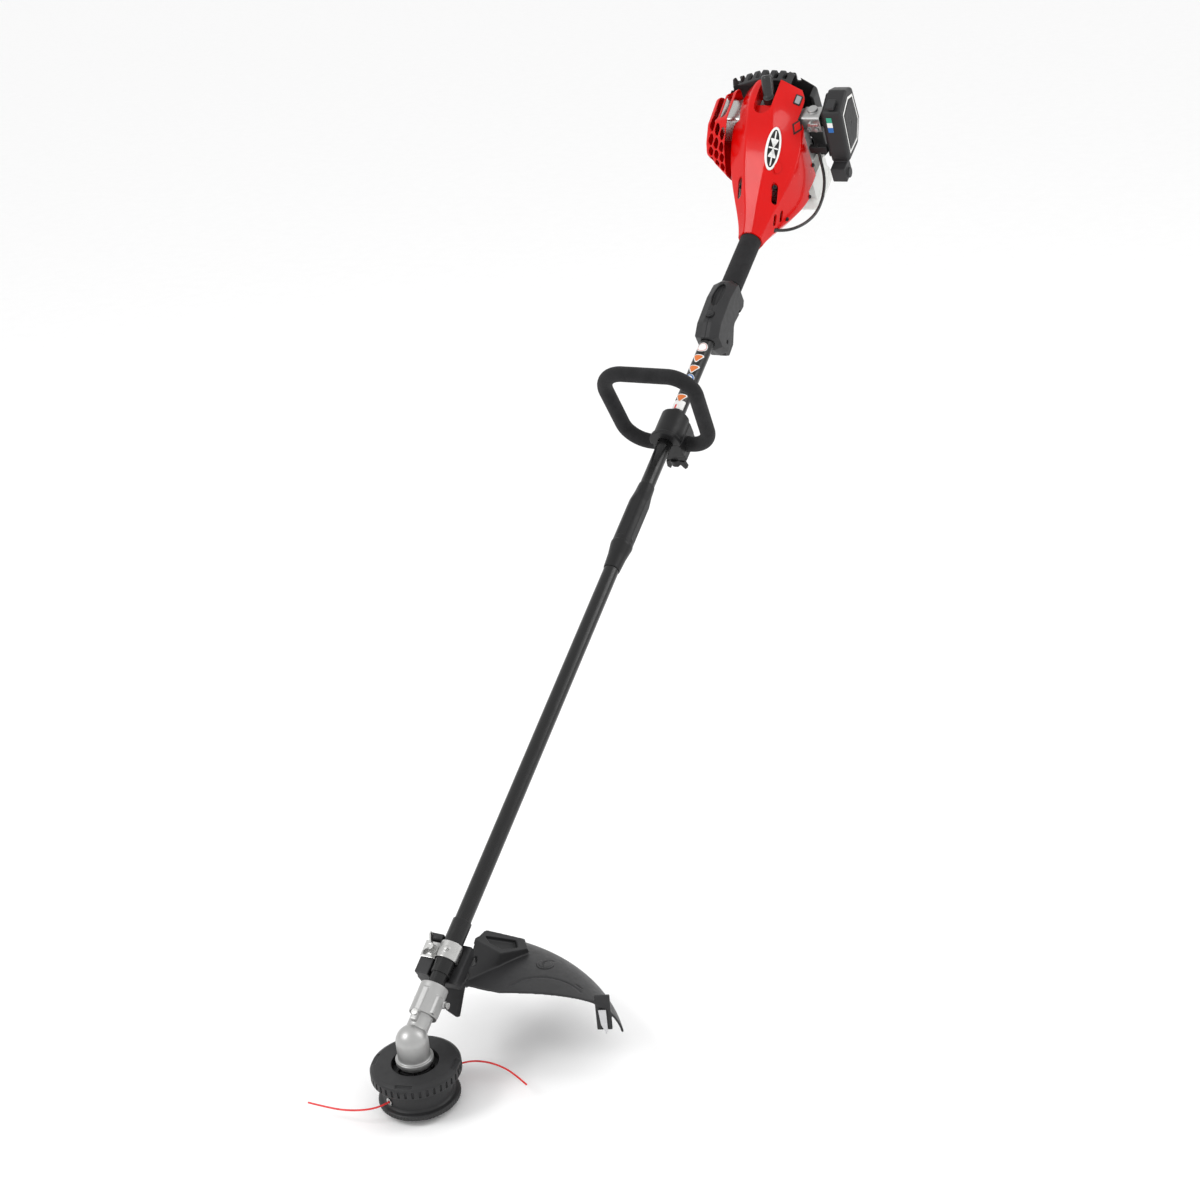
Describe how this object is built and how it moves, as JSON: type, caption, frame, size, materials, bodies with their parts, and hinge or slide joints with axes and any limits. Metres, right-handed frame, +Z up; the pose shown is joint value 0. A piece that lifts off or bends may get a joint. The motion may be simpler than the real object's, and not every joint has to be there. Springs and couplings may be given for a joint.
{
  "type": "string trimmer",
  "caption": "Straight-shaft petrol string trimmer with a two-line tap head, swept guard, loop handle, trigger grip and a red-cowled engine.",
  "frame": {"origin": "on the cutting head's axis, at the bottom of the tap knob", "axes": "+Z up along the head's axis; the boom rises towards +Y; +X is the carburettor and guard side"},
  "size_m": [0.3361, 1.5342, 1.034],
  "materials": {
    "red_plastic": "glossy moulded red plastic",
    "dark_plastic": "satin moulded dark grey plastic",
    "black_plastic": "satin black plastic",
    "black_tube": "semi-gloss black paint",
    "foam_rubber": "closed-cell foam",
    "black_rubber": "smooth rubber",
    "cast_aluminium": "bead-blasted casting",
    "zinc_steel": "bright zinc plate",
    "machined_steel": "turned and ground",
    "red_nylon": "extruded nylon line",
    "tank_plastic": "milky translucent blow-moulded plastic",
    "filter_felt": "felted filter"
  },
  "bodies": {
    "trimmer": {"gearbox_housing": "cast_aluminium", "bearings": "machined_steel", "case_screws": "zinc_steel", "lower_tube": "black_tube", "upper_tube": "black_tube", "shaft_bushings": "black_plastic", "coupler": "black_plastic", "guard": "dark_plastic", "cutoff_blade": "machined_steel", "guard_clamp": "zinc_steel", "trigger_housing_left": "dark_plastic", "trigger_housing_right": "dark_plastic", "rear_grip": "foam_rubber", "shroud": "red_plastic", "muffler_guard": "red_plastic", "crankcase": "cast_aluminium", "cylinder": "cast_aluminium", "spark_plug": "zinc_steel", "plug_boot": "black_rubber", "muffler": "zinc_steel", "starter_cover": "dark_plastic", "fuel_tank": "tank_plastic", "carburettor": "cast_aluminium", "air_filter_base": "black_plastic", "air_filter_element": "filter_felt", "throttle_cable": "black_rubber"},
    "head": {"head_cover": "dark_plastic", "head_drum": "dark_plastic", "line_eyelets": "zinc_steel", "arbor_adapter": "black_plastic", "output_shaft": "machined_steel", "output_gear": "machined_steel", "tap_spring": "zinc_steel", "trimmer_line_left": "red_nylon", "trimmer_line_right": "red_nylon"},
    "tap_knob": {"bump_knob": "black_plastic"},
    "spool": {"line_spool": "black_plastic"},
    "drive": {"drive_shaft": "machined_steel", "pinion": "machined_steel", "clutch_drum": "machined_steel"},
    "crank": {"crankshaft": "machined_steel", "flywheel": "cast_aluminium", "clutch_shoes": "cast_aluminium"},
    "piston": {"piston": "cast_aluminium"},
    "rod": {"connecting_rod": "machined_steel"},
    "front_handle": {"front_handle": "foam_rubber", "handle_clamp_cap": "black_plastic", "handle_clamp_base": "black_plastic"},
    "handle_nut": {"handle_wing_nut": "black_plastic"},
    "guard_bolt": {"wing_bolt": "zinc_steel"},
    "trigger": {"throttle_trigger": "dark_plastic"},
    "stop_button": {"stop_switch": "dark_plastic"},
    "carb_lever": {"throttle_lever": "zinc_steel"},
    "choke": {"choke_lever": "black_plastic"},
    "primer": {"primer_bulb": "black_rubber"},
    "cap": {"fuel_cap": "black_plastic"},
    "filter_cover": {"air_filter_cover": "dark_plastic"},
    "latch": {"cover_latch": "dark_plastic"},
    "pulley": {"starter_pulley": "black_plastic"},
    "pull_grip": {"starter_grip": "black_plastic"}
  },
  "joints": [
    {"name": "drive_spin", "type": "hinge", "parent": "trimmer", "child": "drive", "pos_m": [0, 0, 0.092], "axis": [0, 0.866, 0.5], "continuous": true},
    {"name": "head_spin", "type": "hinge", "parent": "trimmer", "child": "head", "pos_m": [0, 0, 0.092], "axis": [0, 0, 1], "continuous": true},
    {"name": "knob_tap", "type": "slide", "parent": "head", "child": "tap_knob", "axis": [0, 0, 1], "range_m": [0, 0.004], "stiffness_N_per_m": 1500, "springref_m": -0.006, "deforming": ["tap_spring"]},
    {"name": "spool_turn", "type": "hinge", "parent": "tap_knob", "child": "spool", "pos_m": [0, 0, 0.026], "axis": [0, 0, 1], "continuous": true},
    {"name": "crank_spin", "type": "hinge", "parent": "trimmer", "child": "crank", "pos_m": [0, 1.38478, 0.8915], "axis": [0, 0.866, 0.5], "continuous": true},
    {"name": "piston_stroke", "type": "slide", "parent": "trimmer", "child": "piston", "axis": [0, -0.5, 0.866], "range_m": [-0.013, 0.013]},
    {"name": "rod_swing", "type": "hinge", "parent": "piston", "child": "rod", "pos_m": [0, 1.36078, 0.93307], "axis": [0, 0.866, 0.5], "range_deg": [-12, 12]},
    {"name": "handle_slide", "type": "slide", "parent": "trimmer", "child": "front_handle", "axis": [0, 0.866, 0.5], "range_m": [-0.06, 0.008]},
    {"name": "handle_nut_turn", "type": "hinge", "parent": "front_handle", "child": "handle_nut", "pos_m": [0, 0.87977, 0.5422], "axis": [0, -0.5, 0.866], "range_deg": [0, 720]},
    {"name": "guard_bolt_turn", "type": "hinge", "parent": "trimmer", "child": "guard_bolt", "pos_m": [-0.025, 0.10652, 0.1535], "axis": [0, -0.5, 0.866], "range_deg": [0, 720]},
    {"name": "trigger_squeeze", "type": "hinge", "parent": "trimmer", "child": "trigger", "pos_m": [0, 1.12571, 0.71422], "axis": [-1, 0, 0], "range_deg": [0, 10], "stiffness_Nm_per_rad": 0.8, "springref_deg": -20.05},
    {"name": "throttle_open", "type": "hinge", "parent": "trimmer", "child": "carb_lever", "pos_m": [0.067, 1.32445, 0.95598], "axis": [0, 0.866, 0.5], "range_deg": [0, 60]},
    {"name": "stop_press", "type": "slide", "parent": "trimmer", "child": "stop_button", "axis": [0, 0.5, -0.866], "range_m": [0, 0.002], "stiffness_N_per_m": 500, "springref_m": -0.003},
    {"name": "choke_turn", "type": "hinge", "parent": "trimmer", "child": "choke", "pos_m": [0.076, 1.37556, 0.95546], "axis": [-1, 0, 0], "range_deg": [0, 50]},
    {"name": "primer_press", "type": "slide", "parent": "trimmer", "child": "primer", "axis": [0, -0.866, -0.5], "range_m": [0, 0.0025], "stiffness_N_per_m": 400, "springref_m": -0.002},
    {"name": "cap_turn", "type": "hinge", "parent": "trimmer", "child": "cap", "pos_m": [-0.058, 1.40821, 0.83691], "axis": [-1, 0, 0], "range_deg": [0, 540]},
    {"name": "cover_off", "type": "slide", "parent": "trimmer", "child": "filter_cover", "axis": [1, 0, 0], "range_m": [0, 0.06]},
    {"name": "latch_slide", "type": "slide", "parent": "filter_cover", "child": "latch", "axis": [0, -0.866, -0.5], "range_m": [0, 0.003]},
    {"name": "starter_pull", "type": "slide", "parent": "trimmer", "child": "pull_grip", "axis": [0, -0.5, 0.866], "range_m": [0, 0.5], "stiffness_N_per_m": 6, "springref_m": -0.2},
    {"name": "pulley_turn", "type": "hinge", "parent": "trimmer", "child": "pulley", "pos_m": [0, 1.42981, 0.9175], "axis": [0, 0.866, 0.5], "range_deg": [0, 1433]}
  ],
  "couplings": [
    {"joint": "head_spin", "follows": "drive_spin", "ratio": 0.73684},
    {"joint": "throttle_open", "follows": "trigger_squeeze", "ratio": 6},
    {"joint": "pulley_turn", "follows": "starter_pull", "rad_per_m": 50}
  ]
}
